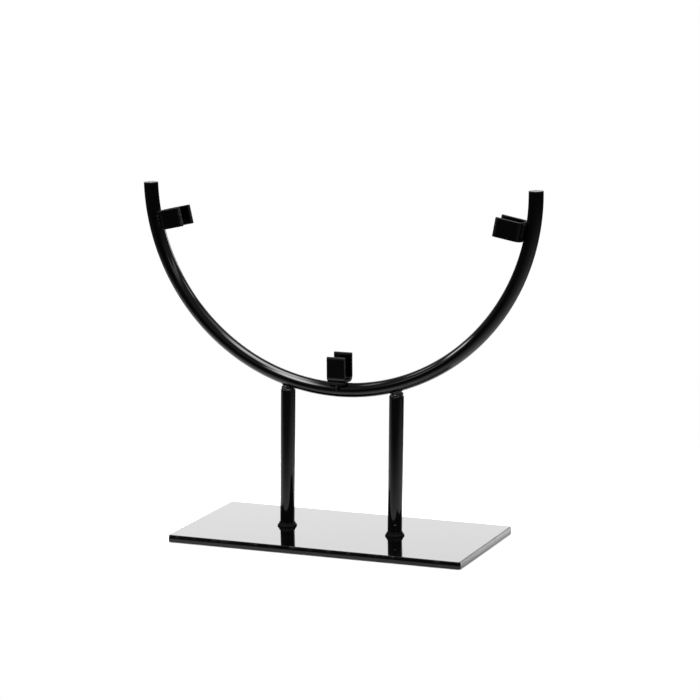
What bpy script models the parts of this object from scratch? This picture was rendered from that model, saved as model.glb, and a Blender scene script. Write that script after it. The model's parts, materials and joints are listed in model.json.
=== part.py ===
"""Half-round display stand for a disc: a flat plate, two round posts, a round bar bent into a half circle
and three U-shaped clips that hold the disc's rim, all welded together and painted gloss black.

Metres, +Z up. X runs along the plate's long side and Y from front to back, so the arc lies in the XZ plane.
The origin is the middle of the plate's underside.
"""
import math

import bmesh
import bpy
from mathutils import Matrix, Vector

PAINT_BLACK = (0.012, 0.012, 0.013)

# Fit between neighbouring pieces. The weld beads bridge it.
GAP = 0.0003

# Plate: 8 x 4 x 3/16 in.
PLATE_WIDTH = 0.2032
PLATE_DEPTH = 0.1016
PLATE_THICKNESS = 0.00476
PLATE_CORNER_RADIUS = 0.0015
PLATE_EDGE_RADIUS = 0.0006

# Round bar: 3/8 in, for the posts and the arc.
BAR_RADIUS = 0.009525 / 2
BAR_END_CHAMFER = 0.0004
BAR_SIDES = 24
POST_SPACING = 0.0762
# Both posts were welded leaning a little towards +X.
POST_LEAN = math.radians(1.0)

# Arc: angles are measured at its centre, from straight down, positive towards +X.
ARC_INNER_RADIUS = 0.129
ARC_CENTRE_HEIGHT = 0.233
ARC_START = math.radians(-88.8)
ARC_END = math.radians(91.0)
ARC_STEPS = 60

# Clips: 1/2 x 1/16 in strip bent into a U whose mouth faces the arc's centre.
STRIP_WIDTH = 0.01275
STRIP_THICKNESS = 0.0016
STRIP_EDGE_RADIUS = 0.0002
CLIP_DEPTH = 0.0142
CLIP_BEND_RADIUS = 0.004
CLIP_BEND_STEPS = 6
# name: (angle, front leg, back leg). The legs are bent by hand, so they differ a little.
CLIPS = {
    "left_clip": (math.radians(-77.5), 0.0169, 0.0184),
    "bottom_clip": (0.0, 0.0173, 0.0187),
    "right_clip": (math.radians(79.2), 0.0186, 0.0188),
}

# Weld beads.
FOOT_BEAD_WIDTH = 0.00145
FOOT_BEAD_HEIGHT = 0.0027
FOOT_BEAD_STEPS = 6
TOP_BEAD_RADII = (0.0051, 0.0048, 0.0034)
TOP_BEAD_INSET = 0.0003
TOP_BEAD_RISE = 0.0012
CLIP_BEAD_RADIUS = 0.0015
CLIP_BEAD_LENGTH = 0.0105

# Sizes that follow from the ones above.
ARC_RADIUS = ARC_INNER_RADIUS + BAR_RADIUS
ARC_OUTER_RADIUS = ARC_INNER_RADIUS + 2 * BAR_RADIUS
ARC_CENTRE = Vector((0, 0, ARC_CENTRE_HEIGHT))
POST_X = POST_SPACING / 2
# A post is cut square, so the low side of its leaning foot meets the plate first.
POST_BOTTOM = GAP + BAR_RADIUS * math.sin(POST_LEAN)
# The clip's back is flat, so its two ends meet the inside of the arc first.
CLIP_BACK_RADIUS = math.sqrt((ARC_INNER_RADIUS - GAP) ** 2 - (STRIP_WIDTH / 2) ** 2)


def clear_scene():
    for item in list(bpy.data.objects):
        bpy.data.objects.remove(item)


def new_collection(name):
    collection = bpy.data.collections.new(name)
    bpy.context.scene.collection.children.link(collection)
    return collection


def new_material(name, colour, roughness):
    material = bpy.data.materials.new(name)
    material.use_nodes = True
    shader = material.node_tree.nodes["Principled BSDF"]
    shader.inputs["Base Color"].default_value = (*colour, 1)
    shader.inputs["Roughness"].default_value = roughness
    shader.inputs["Metallic"].default_value = 0
    return material


def move_to(collection, item):
    for owner in list(item.users_collection):
        owner.objects.unlink(item)
    collection.objects.link(item)


def finish_part(item, name, colour, roughness):
    """Name the part, paint it and hang it under the stand's empty."""
    item.name = name
    item.data.name = name
    item.data.materials.clear()
    item.data.materials.append(new_material(name + "_paint", colour, roughness))
    move_to(parts, item)
    item.parent = stand


def add_bevel(item, width, segments, angle=math.radians(40)):
    bevel = item.modifiers.new("rounded_edges", "BEVEL")
    bevel.width = width
    bevel.segments = segments
    bevel.limit_method = "ANGLE"
    bevel.angle_limit = angle


def add_weld(item):
    weld = item.modifiers.new("closed_caps", "WELD")
    weld.merge_threshold = 0.00001


def shade_round(item, angle=math.radians(35)):
    item.data.shade_smooth()
    item.data.set_sharp_from_angle(angle=angle)


def arc_point(angle, radius=ARC_RADIUS):
    return ARC_CENTRE + Vector((math.sin(angle), 0, -math.cos(angle))) * radius


def clip_placement(angle):
    """Frame on the middle of a clip's back: X along the strip's width, Z towards the arc's centre."""
    place = Matrix.Translation(arc_point(angle, CLIP_BACK_RADIUS))
    return place @ Matrix.Rotation(-angle, 4, "Y")


def build_plate():
    bpy.ops.mesh.primitive_cube_add(size=1, location=(0, 0, PLATE_THICKNESS / 2))
    plate = bpy.context.object
    plate.scale = (PLATE_WIDTH, PLATE_DEPTH, PLATE_THICKNESS)
    bpy.ops.object.transform_apply(location=False, rotation=False, scale=True)

    shape = bmesh.new()
    shape.from_mesh(plate.data)
    upright = [edge for edge in shape.edges
               if abs(edge.verts[0].co.z - edge.verts[1].co.z) > PLATE_THICKNESS / 2]
    bmesh.ops.bevel(shape, geom=upright, offset=PLATE_CORNER_RADIUS, segments=4, profile=0.5,
                    affect="EDGES")
    shape.to_mesh(plate.data)
    shape.free()

    add_bevel(plate, PLATE_EDGE_RADIUS, 3)
    shade_round(plate)
    finish_part(plate, "base_plate", PAINT_BLACK, 0.1)


def post_placement(x):
    """Frame on the plate's top with Z along the post's axis."""
    return Matrix.Translation((x, 0, PLATE_THICKNESS)) @ Matrix.Rotation(POST_LEAN, 4, "Y")


def post_top(x):
    """Distance along the post's axis to its square end, whose inner side just clears the arc above."""
    place = post_placement(x)
    axis = place.to_3x3() @ Vector((0, 0, 1))
    inner_side = place @ Vector((-math.copysign(BAR_RADIUS, x), 0, 0)) - ARC_CENTRE
    towards = inner_side.dot(axis)
    return -towards - math.sqrt(towards ** 2 - inner_side.length_squared + (ARC_OUTER_RADIUS + GAP) ** 2)


def build_post(name, x):
    length = post_top(x) - POST_BOTTOM
    bpy.ops.mesh.primitive_cylinder_add(vertices=BAR_SIDES, radius=BAR_RADIUS, depth=length)
    post = bpy.context.object
    post.matrix_world = post_placement(x) @ Matrix.Translation((0, 0, POST_BOTTOM + length / 2))
    add_bevel(post, BAR_END_CHAMFER, 2)
    shade_round(post)
    finish_part(post, name, PAINT_BLACK, 0.12)


def build_arc_bar():
    curve = bpy.data.curves.new("arc_bar", "CURVE")
    curve.dimensions = "3D"
    curve.bevel_depth = BAR_RADIUS
    curve.bevel_resolution = (BAR_SIDES - 4) // 2
    curve.use_fill_caps = True
    spline = curve.splines.new("POLY")
    spline.points.add(ARC_STEPS)
    for step, point in enumerate(spline.points):
        angle = ARC_START + (ARC_END - ARC_START) * step / ARC_STEPS
        point.co = (*arc_point(angle), 1)
    spline.use_smooth = True
    bar = bpy.data.objects.new("arc_bar", curve)
    bpy.context.scene.collection.objects.link(bar)
    add_weld(bar)
    add_bevel(bar, BAR_END_CHAMFER, 2)
    finish_part(bar, "arc_bar", PAINT_BLACK, 0.1)


def clip_path(front_leg, back_leg):
    """Middle line of the strip, from the front leg's tip round both bends to the back leg's tip."""
    bend = CLIP_BEND_RADIUS - STRIP_THICKNESS / 2
    centre_y = CLIP_DEPTH / 2 - CLIP_BEND_RADIUS
    leg_y = (CLIP_DEPTH - STRIP_THICKNESS) / 2
    turns = [math.pi / 2 * step / CLIP_BEND_STEPS for step in range(CLIP_BEND_STEPS + 1)]
    path = [(-leg_y, front_leg)]
    path += [(-centre_y - bend * math.cos(turn), CLIP_BEND_RADIUS - bend * math.sin(turn))
             for turn in turns]
    path += [(centre_y + bend * math.sin(turn), CLIP_BEND_RADIUS - bend * math.cos(turn))
             for turn in turns]
    path += [(leg_y, back_leg)]
    return path


def build_clip(name, angle, front_leg, back_leg):
    shape = bmesh.new()
    line = [shape.verts.new((-STRIP_WIDTH / 2, y, z)) for y, z in clip_path(front_leg, back_leg)]
    edges = [shape.edges.new(pair) for pair in zip(line, line[1:])]
    swept = bmesh.ops.extrude_edge_only(shape, edges=edges)
    moved = [item for item in swept["geom"] if isinstance(item, bmesh.types.BMVert)]
    bmesh.ops.translate(shape, verts=moved, vec=(STRIP_WIDTH, 0, 0))
    bmesh.ops.recalc_face_normals(shape, faces=shape.faces)
    mesh = bpy.data.meshes.new(name)
    shape.to_mesh(mesh)
    shape.free()

    clip = bpy.data.objects.new(name, mesh)
    bpy.context.scene.collection.objects.link(clip)
    clip.matrix_world = clip_placement(angle)
    sheet = clip.modifiers.new("sheet", "SOLIDIFY")
    sheet.thickness = STRIP_THICKNESS
    sheet.offset = 0
    sheet.use_even_offset = True
    add_bevel(clip, STRIP_EDGE_RADIUS, 1)
    shade_round(clip)
    finish_part(clip, name, PAINT_BLACK, 0.15)


def build_foot_weld(name, x):
    """Ring bead round the foot of a post: a half-round fillet turned about the post's axis."""
    inner = BAR_RADIUS + GAP
    bottom = PLATE_THICKNESS + GAP
    profile = []
    for step in range(FOOT_BEAD_STEPS + 1):
        turn = math.pi / 2 * step / FOOT_BEAD_STEPS
        profile.append((inner + FOOT_BEAD_WIDTH * math.sin(turn), bottom + FOOT_BEAD_HEIGHT * math.cos(turn)))
    profile.append((inner, bottom))

    mesh = bpy.data.meshes.new(name)
    count = len(profile)
    mesh.from_pydata([(radius, 0, height) for radius, height in profile],
                     [(step, (step + 1) % count) for step in range(count)], [])
    bead = bpy.data.objects.new(name, mesh)
    bpy.context.scene.collection.objects.link(bead)
    bead.location = (x, 0, 0)
    turned = bead.modifiers.new("turned", "SCREW")
    turned.axis = "Z"
    turned.angle = math.tau
    turned.steps = BAR_SIDES
    turned.render_steps = BAR_SIDES
    turned.use_merge_vertices = True
    turned.merge_threshold = 0.00001
    turned.use_smooth_shade = True
    finish_part(bead, name, PAINT_BLACK, 0.2)


def as_cutter(item, name):
    item.name = name
    item.hide_render = True
    item.display_type = "WIRE"
    move_to(cutters, item)
    return item


def build_top_weld(name, x, arc_cutter):
    """Bead between a post's square end and the arc above it."""
    place = post_placement(x)
    top = post_top(x)
    bpy.ops.mesh.primitive_cylinder_add(vertices=BAR_SIDES, radius=2 * BAR_RADIUS, depth=2 * BAR_RADIUS)
    post_cutter = as_cutter(bpy.context.object, name + "_cutter")
    post_cutter.matrix_world = place @ Matrix.Translation((0, 0, top + GAP - BAR_RADIUS))

    bpy.ops.mesh.primitive_uv_sphere_add(segments=BAR_SIDES, ring_count=12, radius=1)
    bead = bpy.context.object
    bead.scale = TOP_BEAD_RADII
    bpy.ops.object.transform_apply(location=False, rotation=False, scale=True)
    inset = math.copysign(TOP_BEAD_INSET, x)
    bead.matrix_world = place @ Matrix.Translation((-inset, 0, top + TOP_BEAD_RISE))
    for cutter in (arc_cutter, post_cutter):
        cut = bead.modifiers.new(cutter.name, "BOOLEAN")
        cut.operation = "DIFFERENCE"
        cut.solver = "EXACT"
        cut.object = cutter
    shade_round(bead)
    finish_part(bead, name, PAINT_BLACK, 0.2)


def groove_bead_centre():
    """Middle of a bead that lies in the groove between a clip's front bend and the arc, clear of both.

    Given in the clip's frame, as (y, z): the third corner of a triangle whose other two are the centre of
    the bend and the centre of the bar's section.
    """
    bend = Vector((CLIP_BEND_RADIUS - CLIP_DEPTH / 2, CLIP_BEND_RADIUS))
    bar = Vector((0, CLIP_BACK_RADIUS - ARC_RADIUS))
    to_bend = CLIP_BEND_RADIUS + GAP + CLIP_BEAD_RADIUS
    to_bar = BAR_RADIUS + GAP + CLIP_BEAD_RADIUS
    span = (bar - bend).length
    along = (to_bend ** 2 - to_bar ** 2 + span ** 2) / (2 * span)
    across = math.sqrt(to_bend ** 2 - along ** 2)
    direction = (bar - bend).normalized()
    forward = Vector((direction.y, -direction.x))
    return bend + direction * along + forward * across


def build_clip_weld(name, angle):
    """Bead along the groove between a clip's front bend and the arc, thinner at its two ends."""
    y, z = groove_bead_centre()
    curve = bpy.data.curves.new(name, "CURVE")
    curve.dimensions = "3D"
    curve.bevel_depth = CLIP_BEAD_RADIUS
    curve.bevel_resolution = 4
    curve.use_fill_caps = True
    spline = curve.splines.new("POLY")
    spread = (-1, -0.8, -0.45, 0, 0.45, 0.8, 1)
    spline.points.add(len(spread) - 1)
    for point, place in zip(spline.points, spread):
        point.co = (place * CLIP_BEAD_LENGTH / 2, y, z, 1)
        point.radius = math.sqrt(1 - (0.9 * place) ** 2)
    spline.use_smooth = True
    bead = bpy.data.objects.new(name, curve)
    bpy.context.scene.collection.objects.link(bead)
    bead.matrix_world = clip_placement(angle)
    add_weld(bead)
    finish_part(bead, name, PAINT_BLACK, 0.2)


clear_scene()
parts = new_collection("disc_display_stand")
cutters = new_collection("cutters")
stand = bpy.data.objects.new("stand", None)
parts.objects.link(stand)

build_plate()
build_post("left_post", -POST_X)
build_post("right_post", POST_X)
build_arc_bar()
for clip_name, (clip_angle, front_leg, back_leg) in CLIPS.items():
    build_clip(clip_name, clip_angle, front_leg, back_leg)
    build_clip_weld(clip_name + "_weld", clip_angle)

bpy.ops.mesh.primitive_torus_add(location=ARC_CENTRE, rotation=(math.pi / 2, 0, 0), major_radius=ARC_RADIUS,
                                 minor_radius=BAR_RADIUS + GAP, major_segments=120,
                                 minor_segments=BAR_SIDES)
arc_cutter = as_cutter(bpy.context.object, "arc_cutter")
for side_name, post_x in (("left", -POST_X), ("right", POST_X)):
    build_foot_weld(side_name + "_foot_weld", post_x)
    build_top_weld(side_name + "_top_weld", post_x, arc_cutter)
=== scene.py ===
"""Gloss black welded display stand for a disc, on a glossy white sheet in a small studio.

Metres, +Z up. The arc stands in the XZ plane and faces -Y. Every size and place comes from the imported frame,
apart from the finish: edge radii, weld ripples, paint.
"""
import json
import math
import random

import bmesh
import bpy
from mathutils import Matrix, Vector, noise


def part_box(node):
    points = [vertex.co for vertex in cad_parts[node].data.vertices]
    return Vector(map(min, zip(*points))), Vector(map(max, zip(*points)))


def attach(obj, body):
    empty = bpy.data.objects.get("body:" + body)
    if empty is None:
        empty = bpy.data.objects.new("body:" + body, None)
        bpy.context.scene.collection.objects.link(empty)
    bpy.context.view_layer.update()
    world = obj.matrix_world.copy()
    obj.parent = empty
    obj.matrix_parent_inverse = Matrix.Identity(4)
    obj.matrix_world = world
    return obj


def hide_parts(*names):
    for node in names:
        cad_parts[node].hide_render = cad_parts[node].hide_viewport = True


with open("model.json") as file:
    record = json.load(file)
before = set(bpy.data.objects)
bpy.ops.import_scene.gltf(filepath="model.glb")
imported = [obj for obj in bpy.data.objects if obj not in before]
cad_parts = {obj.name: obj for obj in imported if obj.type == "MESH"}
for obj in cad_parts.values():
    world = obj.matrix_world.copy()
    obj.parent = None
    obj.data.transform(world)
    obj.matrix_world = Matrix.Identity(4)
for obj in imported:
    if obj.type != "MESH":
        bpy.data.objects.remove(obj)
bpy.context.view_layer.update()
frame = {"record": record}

# ---------------------------------------------------------------- driving sizes, read from the frame

plate_low, plate_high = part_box("base_plate")
post_low, post_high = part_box("right_post")
arc_low, arc_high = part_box("arc_bar")
clip_low, clip_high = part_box("bottom_clip")
foot_low, foot_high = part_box("right_foot_weld")

PLATE_TOP = plate_high.z
BAR_RADIUS = (post_high.y - post_low.y) / 2
POST_X = (foot_high.x + foot_low.x) / 2
POST_LEAN = math.atan((post_high.x - post_low.x - 2 * BAR_RADIUS) / (post_high.z - post_low.z))
ARC_OUTER_RADIUS = arc_high.x
ARC_RADIUS = ARC_OUTER_RADIUS - BAR_RADIUS
ARC_CENTRE = Vector((0, 0, arc_low.z + ARC_OUTER_RADIUS))
ARC_START = math.radians(-88.8)
ARC_END = math.radians(91.0)

STRIP_WIDTH = clip_high.x - clip_low.x
STRIP_THICKNESS = 0.0016
CLIP_DEPTH = clip_high.y - clip_low.y
CLIP_BEND_RADIUS = 0.004
# name: (front leg, back leg). The legs are bent by hand, so they differ a little.
CLIP_LEGS = {
    "left_clip": (0.0169, 0.0184),
    "bottom_clip": (0.0173, 0.0187),
    "right_clip": (0.0186, 0.0188),
}

# Finish of the hard edges.
PLATE_CORNER_RADIUS = 0.0016
PLATE_EDGE_RADIUS = 0.0005
PLATE_EDGE_LEAN = math.radians(9)
ARC_END_RADIUS = 0.0004
POST_END_RADIUS = 0.0011
STRIP_EDGE_RADIUS = 0.0005

# Fineness of the meshes.
BAR_SIDES = 64
BAR_STEP = 0.0012
WELD_VOXEL = 0.00013

# Waviness of rolled bar under paint.
WAVE_HEIGHT = 0.000014
WAVE_SIZE = 0.007

# Fine lines along the bar from the mill's die, much longer than they are wide.
DRAWN_SIZE = 0.0012
DRAWN_HEIGHT = 0.000018
DRAWN_STRETCH = 22

UP = Vector((0, 0, 1))


# ---------------------------------------------------------------- mesh helpers

def new_piece(name, mesh, node, material):
    piece = bpy.data.objects.new(name, mesh)
    bpy.context.scene.collection.objects.link(piece)
    mesh.materials.append(material)
    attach(piece, "root")
    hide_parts(node)
    return piece


def flat_faces_stay_flat(piece):
    weighted = piece.modifiers.new("flat_faces_stay_flat", "WEIGHTED_NORMAL")
    weighted.mode = "FACE_AREA"
    weighted.weight = 100


def skin(name, rings, drawn=None):
    """Closed mesh through rings of points. Each ring is (points, wear), with wear one number for each point.

    `drawn` gives, ring by ring, the places that the drawing lines of a bar are made from.
    """
    shape = bmesh.new()
    wear_layer = shape.verts.layers.float.new("edge_wear")
    drawn_layer = shape.verts.layers.float_vector.new("drawn") if drawn else None
    loops = []
    for number, (points, wear) in enumerate(rings):
        loop = []
        for point, amount in zip(points, wear):
            vert = shape.verts.new(point)
            vert[wear_layer] = amount
            loop.append(vert)
        if drawn:
            for vert, place in zip(loop, drawn[number]):
                vert[drawn_layer] = place
        loops.append(loop)
    for low, high in zip(loops, loops[1:]):
        count = len(low)
        for side in range(count):
            after = (side + 1) % count
            shape.faces.new((low[side], low[after], high[after], high[side]))
    shape.faces.new(reversed(loops[0]))
    shape.faces.new(loops[-1])
    bmesh.ops.recalc_face_normals(shape, faces=shape.faces)
    for face in shape.faces:
        face.smooth = True
    mesh = bpy.data.meshes.new(name)
    shape.to_mesh(mesh)
    shape.free()
    return mesh


def rounded_ends(length, radius, step, segments=4):
    """Stations along a bar with rounded end edges: (distance, inset of the section, wear)."""
    turns = [math.pi / 2 * index / segments for index in range(segments + 1)]
    start = [(radius * (1 - math.cos(turn)), radius * (1 - math.sin(turn)), 1.0) for turn in turns]
    middle_count = max(1, round((length - 2 * radius) / step))
    middle = [(radius + (length - 2 * radius) * index / middle_count, 0.0, 0.0)
              for index in range(1, middle_count)]
    end = [(length - distance, inset, wear) for distance, inset, wear in reversed(start)]
    return start + middle + end


# ---------------------------------------------------------------- pieces

def rounded_rectangle(half_x, half_y, radius, corner_steps=8):
    """Outline of a rectangle with round corners, anticlockwise from above."""
    points = []
    for quarter in range(4):
        start = math.pi / 2 * quarter
        centre = Vector(((half_x - radius) * (1 if quarter in (0, 3) else -1),
                         (half_y - radius) * (1 if quarter in (0, 1) else -1)))
        for index in range(corner_steps + 1):
            turn = start + math.pi / 2 * index / corner_steps
            points.append(centre + Vector((math.cos(turn), math.sin(turn))) * radius)
    return points


def plate_profile():
    """Edge of the plate from underside to top, as (inset, height, wear).

    The lower half of the edge is upright and the upper half leans back, as on a sheared plate.
    """
    radius = PLATE_EDGE_RADIUS
    height = PLATE_TOP
    middle = height * 0.5
    lean = math.tan(PLATE_EDGE_LEAN)
    steps = 6
    profile = [(radius + 0.004, 0.0, 0.0), (radius + 0.0008, 0.0, 0.0)]
    for index in range(steps + 1):
        turn = math.pi / 2 * index / steps
        profile.append((radius * (1 - math.sin(turn)), radius * (1 - math.cos(turn)), 0.6))
    profile += [(0.0, middle - 0.0003, 0.0), (0.00001, middle, 0.0), (0.0003 * lean, middle + 0.0003, 0.0)]
    # The top edge turns from the leaning face to the flat top.
    turn_start = PLATE_EDGE_LEAN
    centre_height = height - radius
    side_inset = (centre_height + radius * math.sin(turn_start) - middle) * lean
    centre_inset = side_inset + radius * math.cos(turn_start)
    for index in range(steps + 1):
        turn = turn_start + (math.pi / 2 - turn_start) * index / steps
        profile.append((centre_inset - radius * math.cos(turn), centre_height + radius * math.sin(turn), 1.0))
    profile += [(centre_inset + 0.0008, height, 0.0), (centre_inset + 0.004, height, 0.0)]
    return profile


def build_plate():
    half_x, half_y = plate_high.x, plate_high.y
    rings = []
    for inset, height, wear in plate_profile():
        radius = max(PLATE_CORNER_RADIUS - inset * 0.5, 0.0004)
        outline = rounded_rectangle(half_x - inset, half_y - inset, radius)
        rings.append(([Vector((point.x, point.y, height)) for point in outline], [wear] * len(outline)))
    plate = new_piece("base_plate_painted", skin("base_plate_painted", rings), "base_plate",
                      plate_paint)
    flat_faces_stay_flat(plate)


def wave(point, seed):
    return WAVE_HEIGHT * noise.noise(point / WAVE_SIZE + Vector((seed, 0, 0)))


def round_bar(name, node, place, length, end_radius, seed):
    """Round bar along a line: place(distance) gives the section's centre and its two axes."""
    rings = []
    drawn = []
    turns = [math.tau * side / BAR_SIDES for side in range(BAR_SIDES)]
    for distance, inset, wear in rounded_ends(length, end_radius, BAR_STEP):
        centre, across, over = place(distance)
        points = []
        for turn in turns:
            outward = across * math.cos(turn) + over * math.sin(turn)
            surface = centre + outward * (BAR_RADIUS - inset)
            points.append(surface + outward * wave(surface, seed))
        rings.append((points, [wear] * BAR_SIDES))
        run = distance / DRAWN_STRETCH + seed
        drawn.append([Vector((math.cos(turn) * BAR_RADIUS, math.sin(turn) * BAR_RADIUS, run))
                      for turn in turns])
    bar = new_piece(name, skin(name, rings, drawn), node, bar_paint)
    flat_faces_stay_flat(bar)


def post_placement(x):
    """Frame at a post's foot, on the plate's top. Z is the post's axis, which leans a little to the right."""
    return Matrix.Translation((x, 0, PLATE_TOP)) @ Matrix.Rotation(POST_LEAN, 4, "Y")


def post_length(node):
    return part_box(node)[1].z - PLATE_TOP - BAR_RADIUS * math.sin(POST_LEAN)


def build_post(name, node, x, seed):
    frame_at_foot = post_placement(x)
    turn = frame_at_foot.to_3x3()

    def place(distance):
        return frame_at_foot @ Vector((0, 0, distance)), turn @ Vector((1, 0, 0)), turn @ Vector((0, 1, 0))

    round_bar(name, node, place, post_length(node), POST_END_RADIUS, seed)


def arc_direction(angle):
    return Vector((math.sin(angle), 0, -math.cos(angle)))


def build_arc():
    def place(distance):
        outward = arc_direction(ARC_START + distance / ARC_RADIUS)
        return ARC_CENTRE + outward * ARC_RADIUS, outward, Vector((0, 1, 0))

    round_bar("arc_bar_painted", "arc_bar", place, (ARC_END - ARC_START) * ARC_RADIUS, ARC_END_RADIUS, 7.0)


def clip_frame(node):
    """Frame on the middle of a clip's outer back face, with X along its width and Z to the arc's centre."""
    seat_name = node.replace("clip", "seat")
    mount = next(mount for mount in frame["record"]["mounts"] if mount["name"] == seat_name)
    inward = Vector(mount["axis"]).normalized()
    seat = Vector(mount["pos_m"])
    along = Vector((0, 1, 0)).cross(inward)
    rotation = Matrix((along, Vector((0, 1, 0)), inward)).transposed().to_4x4()
    return Matrix.Translation(seat - inward * STRIP_THICKNESS) @ rotation


def clip_path(front_leg, back_leg, bend_steps=14, leg_step=0.0016):
    """Stations along the strip's middle line, from the front tip to the back tip.

    Each is (y, z, direction, inset of the section, wear).
    """
    bend = CLIP_BEND_RADIUS - STRIP_THICKNESS / 2
    centre_y = CLIP_DEPTH / 2 - CLIP_BEND_RADIUS
    leg_y = (CLIP_DEPTH - STRIP_THICKNESS) / 2
    turns = [math.pi / 2 * index / bend_steps for index in range(bend_steps + 1)]
    path = []
    for distance, inset, wear in rounded_ends(front_leg - CLIP_BEND_RADIUS, STRIP_EDGE_RADIUS, leg_step):
        if distance < (front_leg - CLIP_BEND_RADIUS) / 2:
            path.append((-leg_y, front_leg - distance, -math.pi / 2, inset, wear))
    for turn in turns:
        path.append((-centre_y - bend * math.cos(turn), CLIP_BEND_RADIUS - bend * math.sin(turn),
                     turn - math.pi / 2, 0.0, 0.0))
    for turn in turns:
        path.append((centre_y + bend * math.sin(turn), CLIP_BEND_RADIUS - bend * math.cos(turn),
                     turn, 0.0, 0.0))
    for distance, inset, wear in rounded_ends(back_leg - CLIP_BEND_RADIUS, STRIP_EDGE_RADIUS, leg_step):
        if distance > (back_leg - CLIP_BEND_RADIUS) / 2:
            path.append((leg_y, CLIP_BEND_RADIUS + distance, math.pi / 2, inset, wear))
    return path


def build_clip(name, node):
    place = clip_frame(node)
    corner_steps = 4
    rings = []
    for y, z, heading, inset, end_wear in clip_path(*CLIP_LEGS[node]):
        across = Vector((0, -math.sin(heading), math.cos(heading)))
        section = rounded_rectangle(STRIP_WIDTH / 2 - inset, STRIP_THICKNESS / 2 - inset,
                                    max(STRIP_EDGE_RADIUS - inset, 0.00002), corner_steps)
        points = [place @ (Vector((point.x, y, z)) + across * point.y) for point in section]
        # The strip's sheared sides and tips are worn, its broad faces aren't.
        side_first = [1.0] * corner_steps + [0.0]
        wear = (side_first + side_first[::-1]) * 2
        rings.append((points, [max(amount, end_wear) for amount in wear]))
    clip = new_piece(name, skin(name, rings), node, clip_paint)
    flat_faces_stay_flat(clip)


# ---------------------------------------------------------------- weld beads

def bead(name, node, drops, material):
    """Weld bead: overlapping drops of metal melted into one skin. A drop is (centre, rotation, radii)."""
    shape = bmesh.new()
    for centre, rotation, radii in drops:
        place = Matrix.Translation(centre) @ rotation.to_4x4() @ Matrix.Diagonal((*radii, 1))
        bmesh.ops.create_icosphere(shape, subdivisions=4, radius=1, matrix=place)
    mesh = bpy.data.meshes.new(name)
    shape.to_mesh(mesh)
    shape.free()

    rough = bpy.data.objects.new(name + "_drops", mesh)
    bpy.context.scene.collection.objects.link(rough)
    melt = rough.modifiers.new("melt", "REMESH")
    melt.mode = "VOXEL"
    melt.voxel_size = WELD_VOXEL
    soften = rough.modifiers.new("soften", "SMOOTH")
    soften.factor = 0.5
    soften.iterations = 3
    graph = bpy.context.evaluated_depsgraph_get()
    melted = bpy.data.meshes.new_from_object(rough.evaluated_get(graph))
    bpy.data.objects.remove(rough)
    melted.name = name
    melted.shade_smooth()
    new_piece(name, melted, node, material)


def axes(x_axis, z_axis):
    """Rotation whose X and Z point along these two directions."""
    z_axis = z_axis.normalized()
    y_axis = z_axis.cross(x_axis).normalized()
    x_axis = y_axis.cross(z_axis)
    return Matrix((x_axis, y_axis, z_axis)).transposed()


def foot_drops(x, seed):
    """Ring of drops in the corner between a post and the plate, steep and widest at the plate."""
    rng = random.Random(seed)
    width = (foot_high.x - foot_low.x) / 2 - BAR_RADIUS
    height = foot_high.z - PLATE_TOP
    count = 22
    drops = []
    for index in range(count):
        turn = math.tau * (index + rng.uniform(-0.2, 0.2)) / count
        outward = Vector((math.cos(turn), math.sin(turn), 0))
        size = rng.uniform(0.86, 1.06)
        centre = Vector((x, 0, PLATE_TOP)) + outward * BAR_RADIUS
        along = Vector((-outward.y, outward.x, 0))
        for wide, tall in ((1.0, 0.6), (0.55, 1.0)):
            radii = (0.0012, width * size * wide, height * size * tall)
            drops.append((centre, axes(along + UP * 0.25, UP), radii))
    return drops


def spatter(x, height, azimuth, radius):
    """Ball of weld spatter stuck to the side of a post."""
    outward = compass(azimuth, 0)
    place = post_placement(x)
    return place @ Vector((0, 0, height)) + outward * BAR_RADIUS, Matrix.Identity(3), (radius,) * 3


def arc_underside(x, y):
    """Height of the arc bar's lower surface above the point (x, y)."""
    reach = ARC_RADIUS + math.sqrt(max(BAR_RADIUS ** 2 - y ** 2, 0))
    return ARC_CENTRE.z - math.sqrt(reach ** 2 - x ** 2)


# Larger lumps on the posts' rims: (azimuth, radius).
LEFT_LUMPS = ((180, 0.0009), (140, 0.0007))
RIGHT_LUMPS = ((170, 0.0016), (-150, 0.001))


def top_drops(node, x, lumps, seed):
    """Hollow fillet between a post's square end and the round bar above it, with lumps where it was run.

    The fillet leaves the post's rim at a slant, narrows to a neck, and flares again where it meets the bar.
    `lumps` are (azimuth, radius) of drops on the post's rim.
    """
    rng = random.Random(seed)
    top = post_placement(x) @ Vector((0, 0, post_length(node)))
    gap = arc_underside(top.x, 0) - top.z
    slope = -math.asin(top.x / ARC_RADIUS)
    layers = 7
    drops = []
    for index in range(layers):
        share = index / (layers - 1)
        radius = BAR_RADIUS * (0.97 - 0.90 * share + 0.84 * share ** 2)
        centre = top + UP * (share * (gap + 0.0012) - 0.0007)
        drops.append((centre, Matrix.Rotation(slope * share, 3, "Y"), (radius, radius, 0.0009)))
    ripples = 9
    for index in range(ripples):
        turn = math.tau * (index + rng.uniform(-0.3, 0.3)) / ripples
        outward = Vector((math.cos(turn), math.sin(turn), 0))
        radius = rng.uniform(0.0007, 0.0010)
        centre = top + outward * BAR_RADIUS * rng.uniform(0.68, 0.78) + UP * rng.uniform(0.0002, 0.0012)
        drops.append((centre, Matrix.Identity(3), (radius,) * 3))
    for azimuth, radius in lumps:
        centre = top + compass(azimuth, 0) * (BAR_RADIUS - radius * 0.9) - UP * radius * 0.3
        drops.append((centre, Matrix.Identity(3), (radius,) * 3))
    return drops


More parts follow.
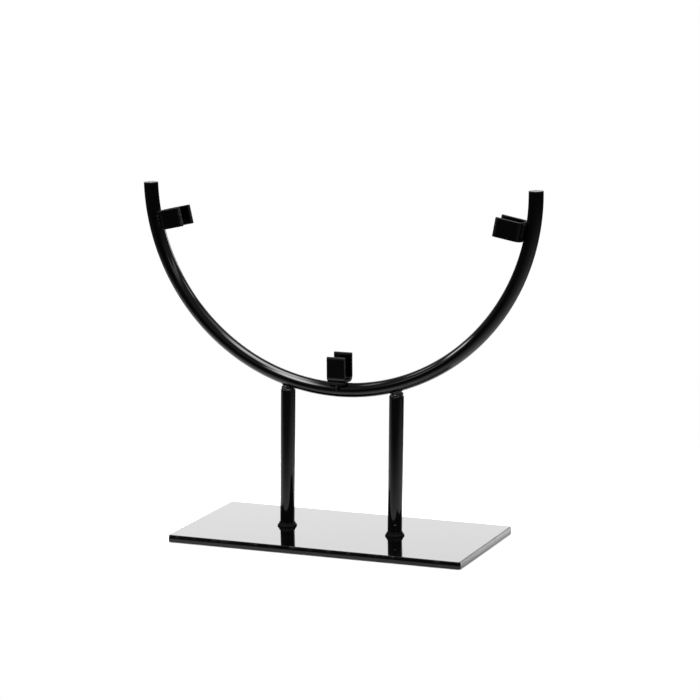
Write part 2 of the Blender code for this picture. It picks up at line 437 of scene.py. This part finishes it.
def clip_drops(node, seed, run=False):
    """Row of drops along the groove between a clip's front bend and the arc.

    With `run`, metal has also run from the middle of the bend down the front of the arc.
    """
    rng = random.Random(seed)
    place = clip_frame(node)
    turn = place.to_3x3()
    count = 11
    length = STRIP_WIDTH * 0.8
    drops = []
    for index in range(count):
        share = index / (count - 1) - 0.5
        size = rng.uniform(0.85, 1.15) * math.sqrt(1 - (1.5 * share) ** 2)
        centre = place @ Vector((share * length, -CLIP_DEPTH * 0.34, -0.0003 + rng.uniform(-1, 1) * 0.0001))
        radii = (0.00085, 0.0017 * size, 0.0015 * size)
        drops.append((centre, turn @ Matrix.Rotation(0.3, 3, "Y"), radii))
    if run:
        slope = Matrix.Rotation(math.radians(-22), 3, "X")
        drops.append((place @ Vector((0.0003, -CLIP_DEPTH * 0.36, -0.0018)), turn @ slope,
                      (0.0012, 0.0013, 0.0036)))
    return drops


# ---------------------------------------------------------------- materials

class Graph:
    """Adds shader nodes to a tree and links them."""

    def __init__(self, tree):
        self.tree = tree

    def node(self, kind, inputs=None, **settings):
        node = self.tree.nodes.new(kind)
        for key, value in settings.items():
            setattr(node, key, value)
        for key, value in (inputs or {}).items():
            if isinstance(value, bpy.types.NodeSocket):
                self.tree.links.new(value, node.inputs[key])
            else:
                node.inputs[key].default_value = value
        return node

    def noise(self, vector, size, detail=2.0):
        """Noise whose features are about `size` metres across."""
        node = self.node("ShaderNodeTexNoise", {"Vector": vector, "Scale": 1 / size, "Detail": detail})
        return node.outputs["Fac"]

    def ramp(self, value, low, high, to_low=0.0, to_high=1.0):
        node = self.node("ShaderNodeMapRange", {"Value": value, "From Min": low, "From Max": high,
                                                "To Min": to_low, "To Max": to_high},
                         interpolation_type="SMOOTHSTEP")
        return node.outputs["Result"]

    def math(self, operation, first, second=0.0):
        return self.node("ShaderNodeMath", {0: first, 1: second}, operation=operation).outputs[0]

    def vector(self, operation, first, second):
        return self.node("ShaderNodeVectorMath", {0: first, 1: second}, operation=operation)

    def blend(self, factor, first, second):
        node = self.node("ShaderNodeMix", {0: factor, 6: first, 7: second}, data_type="RGBA")
        return node.outputs[2]


# Colours of the paint: full coats, thin places, dust under it and metal rubbed through at the edges.
ENAMEL = (0.0003, 0.0003, 0.0004, 1)
THIN_ENAMEL = (0.0012, 0.0011, 0.0011, 1)
DUST = (0.07, 0.07, 0.068, 1)
WORN_EDGE = (0.025, 0.024, 0.023, 1)


def enamel(name, roughness, peel_size, peel_height, dust=0.25, edge_dulling=0.12, specular_level=0.5,
           drawn_height=0.0):
    """Sprayed gloss black enamel: slight orange peel, thick and thin areas, dust nibs and rubbed edges."""
    material = bpy.data.materials.new(name)
    material.use_nodes = True
    graph = Graph(material.node_tree)
    shader = material.node_tree.nodes["Principled BSDF"]
    place = graph.node("ShaderNodeTexCoord").outputs["Object"]

    clouds = graph.noise(place, 0.022, 3)
    nibs = graph.ramp(graph.noise(place, 0.0007, 1), 0.76, 0.84)
    peel = graph.noise(place, peel_size, 2)
    edge = graph.node("ShaderNodeAttribute", attribute_name="edge_wear").outputs["Fac"]
    rubbed = graph.math("MULTIPLY", edge, graph.ramp(graph.noise(place, 0.0035, 4), 0.52, 0.68))

    colour = graph.blend(graph.ramp(clouds, 0.35, 0.7), ENAMEL, THIN_ENAMEL)
    colour = graph.blend(graph.math("MULTIPLY", nibs, dust), colour, DUST)
    colour = graph.blend(graph.math("MULTIPLY", rubbed, 0.5), colour, WORN_EDGE)
    gloss = graph.ramp(clouds, 0.3, 0.75, roughness * 0.75, roughness * 1.4)
    gloss = graph.math("ADD", gloss, graph.math("MULTIPLY", nibs, 0.15))
    gloss = graph.math("ADD", gloss, graph.math("MULTIPLY", rubbed, 0.12))
    gloss = graph.math("ADD", gloss, graph.math("MULTIPLY", edge, edge_dulling))
    height = graph.math("MULTIPLY", peel, peel_height)
    if drawn_height:
        drawn = graph.node("ShaderNodeAttribute", attribute_name="drawn").outputs["Vector"]
        lines = graph.math("MULTIPLY", graph.noise(drawn, DRAWN_SIZE, 2), drawn_height)
        height = graph.math("ADD", height, lines)
    relief = graph.node("ShaderNodeBump", {"Height": height, "Distance": 1.0, "Strength": 1.0})

    links = material.node_tree.links
    links.new(colour, shader.inputs["Base Color"])
    links.new(gloss, shader.inputs["Roughness"])
    links.new(relief.outputs["Normal"], shader.inputs["Normal"])
    shader.inputs["Metallic"].default_value = 0.0
    shader.inputs["IOR"].default_value = 1.5
    shader.inputs["Specular IOR Level"].default_value = specular_level
    return material


# ---------------------------------------------------------------- studio

def compass(azimuth, elevation):
    """Unit vector: azimuth 0 is behind the stand (+Y) and 90 is to its right (+X)."""
    azimuth, elevation = math.radians(azimuth), math.radians(elevation)
    return Vector((math.sin(azimuth) * math.cos(elevation), math.cos(azimuth) * math.cos(elevation),
                   math.sin(elevation)))


# Glossy white sheet under the stand. It fades out from its middle and is gone at its rim: a painted pool of
# light, brightest near the stand and falling off away from it.
SHEET_RADIUS = 0.80
LIGHT_POOL_MIDDLE = (-0.09, 0.04, 0)
LIGHT_POOL_SQUASH = (0.65, 1.45, 1)
# Distances from the middle of the painted light pool at which the sheet starts to fade out and is gone, and
# how fast it fades between them.
LIGHT_POOL_FULL = 0.08
LIGHT_POOL_GONE = 0.55
LIGHT_POOL_FALL = 2.2
SHEET_DROP = 0.0002


def white_sheet():
    material = bpy.data.materials.new("white_sheet")
    material.use_nodes = True
    graph = Graph(material.node_tree)
    shader = material.node_tree.nodes["Principled BSDF"]
    place = graph.node("ShaderNodeTexCoord").outputs["Object"]
    grain = graph.noise(place, 0.0015, 4)
    colour = graph.blend(grain, (0.86, 0.86, 0.855, 1), (0.90, 0.90, 0.90, 1))
    gloss = graph.ramp(graph.noise(place, 0.02, 3), 0.3, 0.7, 0.14, 0.2)
    relief = graph.node("ShaderNodeBump", {"Height": grain, "Distance": 0.000004, "Strength": 0.5})
    # Painted pool of light: the sheet's alpha falls off with distance from an off-centre middle, standing in
    # for light that falls off away from the stand.
    shifted = graph.vector("SUBTRACT", place, LIGHT_POOL_MIDDLE).outputs[0]
    squashed = graph.vector("MULTIPLY", shifted, LIGHT_POOL_SQUASH).outputs[0]
    reach = graph.node("ShaderNodeVectorMath", {0: squashed}, operation="LENGTH").outputs["Value"]
    painted_light_pool = graph.node("ShaderNodeMapRange", {"Value": reach, "From Min": LIGHT_POOL_GONE, "From Max": LIGHT_POOL_FULL})
    painted_light_pool = graph.math("POWER", painted_light_pool.outputs["Result"], LIGHT_POOL_FALL)
    links = material.node_tree.links
    links.new(colour, shader.inputs["Base Color"])
    links.new(gloss, shader.inputs["Roughness"])
    links.new(relief.outputs["Normal"], shader.inputs["Normal"])
    links.new(painted_light_pool, shader.inputs["Alpha"])
    return material


def build_floor():
    sides = 96
    points = [Vector((math.cos(math.tau * side / sides), math.sin(math.tau * side / sides), 0)) * SHEET_RADIUS
              - UP * SHEET_DROP for side in range(sides)]
    mesh = bpy.data.meshes.new("floor")
    mesh.from_pydata(points, [], [range(sides)])
    floor = bpy.data.objects.new("floor", mesh)
    bpy.context.scene.collection.objects.link(floor)
    mesh.materials.append(white_sheet())


# Lit panels round the stand, as it would see them.
# name: (azimuth, elevation, half width, half height, softness, radiance, turn), angles in degrees and the
# widths as tangents. Radiance 1 is plain white.
PANELS = {
    "overhead_softbox": (126, 82.3, 0.30, 0.36, 0.12, 8.2, -54),
    "overhead_right": (70, 66, 0.35, 0.24, 0.16, 1.4, 0),
    "front_strip": (-166, 50, 0.11, 0.26, 0.07, 11.5, 0),
    "left_strip": (-108, 26.5, 0.19, 0.06, 0.03, 8.6, -12),
    "left_window": (-97, 40, 0.13, 0.07, 0.04, 3.0, 0),
    "left_window_high": (-98, 56, 0.17, 0.05, 0.04, 2.4, 0),
    "left_glow": (-138, 22, 0.11, 0.09, 0.06, 1.2, 0),
    "right_strip": (104, 30, 0.45, 0.045, 0.03, 1.3, 0),
    "right_window": (64, 38, 0.10, 0.065, 0.03, 4.2, 0),
    "right_glow": (146, 20, 0.12, 0.05, 0.04, 1.5, 0),
    "backdrop": (-20, 8, 0.80, 0.30, 0.12, 0.5, 0),
    "backdrop_core": (-22, 14.1, 0.21, 0.08, 0.035, 2.0, 0),
    "backdrop_right": (22.5, 8, 0.09, 0.12, 0.04, 6.2, 0),
}


def panel_strength(graph, direction, rise, panel):
    """Radiance of one soft-edged rectangle, nothing below the horizon."""
    azimuth, elevation, half_width, half_height, softness, radiance, turn = panel
    towards = compass(azimuth, elevation)
    right = towards.cross(UP).normalized()
    over = right.cross(towards)
    spin = Matrix.Rotation(math.radians(turn), 3, towards)
    right, over = spin @ right, spin @ over

    def along(axis):
        return graph.vector("DOT_PRODUCT", direction, axis).outputs["Value"]

    depth = graph.math("MAXIMUM", along(towards), 0.01)
    result = graph.ramp(rise, 0.0, 0.02)
    for axis, half in ((right, half_width), (over, half_height)):
        offset = graph.math("ABSOLUTE", graph.math("DIVIDE", along(axis), depth))
        result = graph.math("MULTIPLY", result, graph.ramp(offset, half + softness, half - softness))
    return graph.math("MULTIPLY", result, radiance)


def build_world():
    """Dim room with lit panels, dark below the horizon, and plain white to the camera."""
    world = bpy.data.worlds.new("studio_room")
    bpy.context.scene.world = world
    world.use_nodes = True
    tree = world.node_tree
    tree.nodes.clear()
    graph = Graph(tree)

    direction = graph.node("ShaderNodeTexCoord").outputs["Generated"]
    rise = graph.node("ShaderNodeSeparateXYZ", {0: direction}).outputs["Z"]
    room = graph.ramp(rise, 0.05, 0.4, 0.035, 0.22)
    floor_glow = graph.ramp(rise, -0.1, -0.6, 0.0, 0.2)
    strength = graph.math("ADD", room, floor_glow)
    for panel in PANELS.values():
        strength = graph.math("ADD", strength, panel_strength(graph, direction, rise, panel))

    seen = graph.node("ShaderNodeLightPath").outputs["Is Camera Ray"]
    strength = graph.node("ShaderNodeMix", {0: seen, 2: strength, 3: 1.0}, data_type="FLOAT").outputs[0]
    background = graph.node("ShaderNodeBackground", {"Color": (1, 1, 1, 1), "Strength": strength})
    output = graph.node("ShaderNodeOutputWorld")
    tree.links.new(background.outputs[0], output.inputs[0])


CAMERA_AZIMUTH = math.radians(21.99)
CAMERA_ELEVATION = math.radians(10.45)
CAMERA_ROLL = math.radians(-0.344)
CAMERA_DISTANCE = 1.8479
CAMERA_TARGET = Vector((0.00739, 0, 0.1260))
CAMERA_LENS = 146.37


def build_camera():
    data = bpy.data.cameras.new("camera")
    data.sensor_width = 36
    data.lens = CAMERA_LENS
    data.clip_start, data.clip_end = 0.05, 50
    camera = bpy.data.objects.new("camera", data)
    bpy.context.scene.collection.objects.link(camera)
    back = Vector((math.sin(CAMERA_AZIMUTH) * math.cos(CAMERA_ELEVATION),
                   -math.cos(CAMERA_AZIMUTH) * math.cos(CAMERA_ELEVATION), math.sin(CAMERA_ELEVATION)))
    right = UP.cross(back).normalized()
    over = back.cross(right)
    turned_right = right * math.cos(CAMERA_ROLL) + over * math.sin(CAMERA_ROLL)
    turned_over = over * math.cos(CAMERA_ROLL) - right * math.sin(CAMERA_ROLL)
    rotation = Matrix((turned_right, turned_over, back)).transposed()
    camera.matrix_world = Matrix.Translation(CAMERA_TARGET + back * CAMERA_DISTANCE) @ rotation.to_4x4()
    bpy.context.scene.camera = camera


# ---------------------------------------------------------------- the scene

plate_paint = enamel("plate_enamel", 0.05, 0.0022, 0.000002)
bar_paint = enamel("bar_enamel", 0.07, 0.0016, 0.000004, drawn_height=DRAWN_HEIGHT)
clip_paint = enamel("clip_enamel", 0.08, 0.0016, 0.000004, edge_dulling=0.55)
weld_paint = enamel("weld_enamel", 0.24, 0.0009, 0.000036)
dull_weld_paint = enamel("dull_weld_enamel", 0.42, 0.0007, 0.000020, specular_level=0.26)
sooty_weld_paint = enamel("sooty_weld_enamel", 0.48, 0.0007, 0.000015, specular_level=0.08)

build_plate()
build_post("left_post_painted", "left_post", -POST_X, 1.0)
build_post("right_post_painted", "right_post", POST_X, 4.0)
build_arc()
for number, clip_name in enumerate(CLIP_LEGS):
    at_bottom = clip_name == "bottom_clip"
    build_clip(clip_name + "_painted", clip_name)
    bead(clip_name + "_weld_bead", clip_name + "_weld", clip_drops(clip_name, 40 + number, run=at_bottom),
         dull_weld_paint if at_bottom else sooty_weld_paint)
bead("left_foot_weld_bead", "left_foot_weld", foot_drops(-POST_X, 10), sooty_weld_paint)
bead("right_foot_weld_bead", "right_foot_weld", foot_drops(POST_X, 11), sooty_weld_paint)
bead("right_post_spatter", "right_foot_weld", [spatter(POST_X, 0.0077, 158, 0.0009)], weld_paint)
bead("left_top_weld_bead", "left_top_weld", top_drops("left_post", -POST_X, LEFT_LUMPS, 20), weld_paint)
bead("right_top_weld_bead", "right_top_weld", top_drops("right_post", POST_X, RIGHT_LUMPS, 21), weld_paint)

build_floor()
build_world()
build_camera()
bpy.context.scene.view_settings.view_transform = "Standard"
